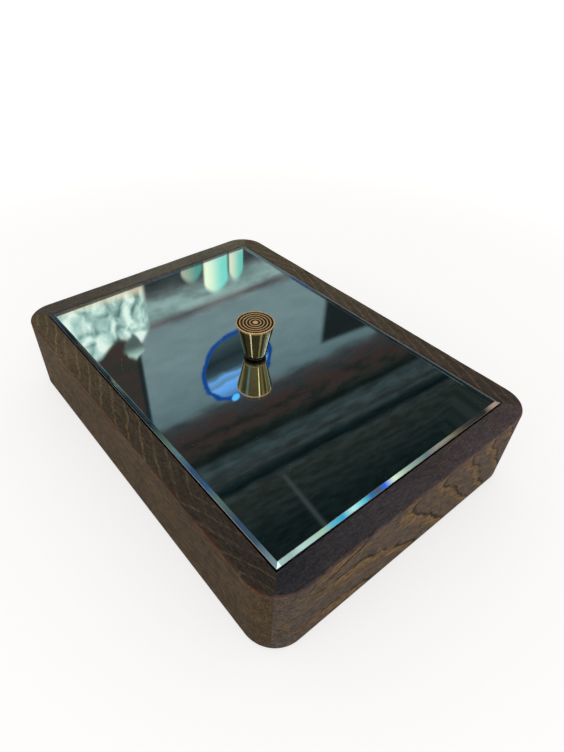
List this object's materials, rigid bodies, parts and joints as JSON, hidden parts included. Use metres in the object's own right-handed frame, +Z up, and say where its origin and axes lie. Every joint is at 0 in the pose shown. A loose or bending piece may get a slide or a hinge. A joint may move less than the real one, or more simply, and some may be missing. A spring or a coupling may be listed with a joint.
{
  "type": "trinket box with mirror lid",
  "caption": "Shallow rectangular dark-wood trinket box with rounded corners, closed by a bevelled mirror lid that lifts off by a tapered brass knob.",
  "frame": {"origin": "middle of the footprint, on the surface the box stands on", "axes": "+X along the long side, +Y across the box from the front board to the back board, +Z up"},
  "size_m": [0.29, 0.211, 0.0847],
  "materials": {
    "dark_wood": "dark stained open-grained hardwood, worn satin, reddish and ochre at the rubbed edges",
    "spline_wood": "bare pale hardwood",
    "plywood": "thin plywood, unfinished",
    "lining_felt": "charcoal felt",
    "foot_felt": "brown-black felt",
    "black_rubber": "satin black",
    "mirror": "back-silvered float glass with a polished bevel",
    "fibreboard": "sanded brown fibreboard",
    "antique_brass": "antique brass, turned, dark in the grooves",
    "nylon": "natural nylon",
    "screw_steel": "zinc-plated steel"
  },
  "bodies": {
    "box": {"front_board": "dark_wood", "right_board": "dark_wood", "back_board": "dark_wood", "left_board": "dark_wood", "mitre_spline_front_right": "spline_wood", "mitre_spline_back_right": "spline_wood", "mitre_spline_back_left": "spline_wood", "mitre_spline_front_left": "spline_wood", "bottom_panel": "plywood", "floor_liner": "lining_felt", "foot_front_right": "foot_felt", "foot_back_right": "foot_felt", "foot_back_left": "foot_felt", "foot_front_left": "foot_felt", "ledge_pad_front_right": "black_rubber", "ledge_pad_back_right": "black_rubber", "ledge_pad_back_left": "black_rubber", "ledge_pad_front_left": "black_rubber"},
    "lid": {"mirror_glass": "mirror", "lid_backing_board": "fibreboard", "lid_felt_facing": "lining_felt", "knob": "antique_brass", "knob_washer": "black_rubber", "glass_hole_bush": "nylon", "knob_screw": "screw_steel", "screw_washer": "screw_steel"}
  },
  "joints": [
    {"name": "lid_lift", "type": "slide", "parent": "box", "child": "lid", "axis": [0, 0, 1], "range_m": [0, 0.1]}
  ]
}
